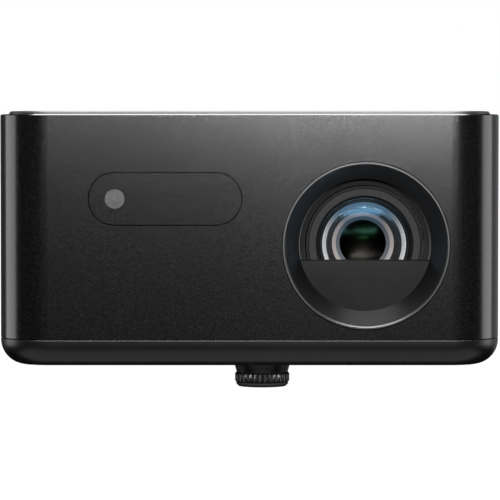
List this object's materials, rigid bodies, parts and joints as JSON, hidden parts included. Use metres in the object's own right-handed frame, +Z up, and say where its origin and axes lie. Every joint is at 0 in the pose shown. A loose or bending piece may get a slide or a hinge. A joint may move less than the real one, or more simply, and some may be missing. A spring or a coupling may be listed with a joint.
{
  "type": "home projector",
  "caption": "Compact rounded-box home projector with a recessed, half-masked focusing lens, a pill-shaped sensor window, side grilles and an adjustable screw foot.",
  "frame": {"origin": "on the surface that the feet stand on, under the middle of the case", "axes": "+X to the right as seen from the front, along the width; +Y from the front to the back; +Z up"},
  "size_m": [0.1634, 0.129, 0.0906],
  "materials": {
    "black_texture": "fine textured matt black with a slight sparkle",
    "black_satin": "satin black",
    "base_black": "satin black",
    "grille_black": "matt black",
    "panel_black": "matt black",
    "window_black": "infrared-clear black, satin",
    "window_grey": "smoked clear",
    "sensor_black": "matt",
    "board_green": "solder mask",
    "bezel_black": "satin black",
    "foam_black": "foam",
    "mask_grey": "fine-grained dark grey",
    "barrel_black": "black anodised",
    "coated_glass": "multi-coated optical glass",
    "clear_glass": "polished optical glass",
    "dichroic_glass": "dichroic coated",
    "steel": "ground",
    "zinc_steel": "zinc plated",
    "gear_nylon": "natural nylon",
    "brass": "turned",
    "cast_alloy": "die-cast light alloy, bead blasted",
    "chip_ceramic": "ceramic package",
    "source_metal": "nickel plated",
    "copper": "plain copper",
    "aluminium_fins": "plain",
    "fan_black": "matt black",
    "chip_black": "moulded",
    "button_black": "satin",
    "light_pipe": "frosted clear",
    "socket_metal": "nickel plated",
    "speaker_steel": "black coated",
    "speaker_paper": "pulp cone",
    "foot_black": "satin black, fluted edge",
    "foot_rubber": "matt"
  },
  "bodies": {
    "case": {"sleeve": "black_texture", "top_cover": "black_satin", "bottom_case": "base_black", "left_grille": "grille_black", "right_grille": "grille_black", "rear_panel": "panel_black", "case_screws": "zinc_steel", "inner_screws": "zinc_steel", "sensor_window": "window_black", "camera_cover": "window_grey", "camera_module": "sensor_black", "distance_sensor": "sensor_black", "sensor_board": "board_green", "lens_bezel": "bezel_black", "bezel_gasket": "foam_black", "lens_mask": "mask_grey", "fixed_barrel": "barrel_black", "rear_element": "coated_glass", "ring_clip": "steel", "focus_motor": "zinc_steel", "motor_bracket": "zinc_steel", "engine_housing": "cast_alloy", "engine_cover": "cast_alloy", "prism": "clear_glass", "imaging_chip": "chip_ceramic", "chip_board": "board_green", "light_sources": "source_metal", "dichroic_mirrors": "dichroic_glass", "integrator_lens": "clear_glass", "heat_spreader": "copper", "heat_pipes": "copper", "heatsink": "aluminium_fins", "fan_frame": "fan_black", "main_board": "board_green", "board_chips": "chip_black", "power_switch": "chip_black", "status_light": "light_pipe", "hdmi_port": "socket_metal", "usb_port": "socket_metal", "usb_c_port": "socket_metal", "audio_jack": "chip_black", "dc_jack": "chip_black", "speaker_frame": "speaker_steel", "foot_nut": "brass", "rear_feet": "foot_rubber", "tripod_socket": "brass"},
    "focus_cell": {"focus_barrel": "barrel_black", "lens_retaining_ring": "barrel_black", "front_element": "coated_glass", "cell_ring": "barrel_black", "second_element": "coated_glass", "cam_pins": "steel"},
    "focus_ring": {"focus_ring": "gear_nylon"},
    "focus_pinion": {"focus_pinion": "brass", "motor_shaft": "steel"},
    "fan_rotor": {"fan_rotor": "fan_black"},
    "power_button": {"power_button": "button_black"},
    "foot_slider": {"foot_pad": "foot_rubber"},
    "foot_screw": {"foot_screw": "foot_black"},
    "speaker_cone": {"speaker_cone": "speaker_paper"}
  },
  "joints": [
    {"name": "focus_turn", "type": "hinge", "parent": "case", "child": "focus_ring", "pos_m": [0.0377, -0.0205, 0.047], "axis": [0, 1, 0], "range_deg": [-20.2, 20.2]},
    {"name": "focus_travel", "type": "slide", "parent": "case", "child": "focus_cell", "axis": [0, 1, 0], "range_m": [-0.0012, 0.0012]},
    {"name": "pinion_turn", "type": "hinge", "parent": "case", "child": "focus_pinion", "pos_m": [0.01988, -0.0205, 0.02918], "axis": [0, 1, 0], "range_deg": [-101, 101]},
    {"name": "fan_spin", "type": "hinge", "parent": "case", "child": "fan_rotor", "pos_m": [-0.0772, 0.00756, 0.0424], "axis": [1, 0, 0], "continuous": true},
    {"name": "power_press", "type": "slide", "parent": "case", "child": "power_button", "axis": [0, 0, -1], "range_m": [0, 0.0006], "stiffness_N_per_m": 300, "springref_m": -0.0005},
    {"name": "foot_lift", "type": "slide", "parent": "case", "child": "foot_slider", "axis": [0, 0, -1], "range_m": [0, 0.006]},
    {"name": "foot_turn", "type": "hinge", "parent": "foot_slider", "child": "foot_screw", "pos_m": [0.0042, -0.0425, 0], "axis": [0, 0, -1], "range_deg": [-1, 721]},
    {"name": "speaker_cone_travel", "type": "slide", "parent": "case", "child": "speaker_cone", "axis": [1, 0, 0], "range_m": [-0.0005, 0.0005], "stiffness_N_per_m": 1500}
  ],
  "couplings": [
    {"joint": "focus_turn", "follows": "focus_travel", "rad_per_m": 290.89},
    {"joint": "pinion_turn", "follows": "focus_travel", "rad_per_m": -1454.4},
    {"joint": "foot_turn", "follows": "foot_lift", "rad_per_m": 2094.4}
  ]
}
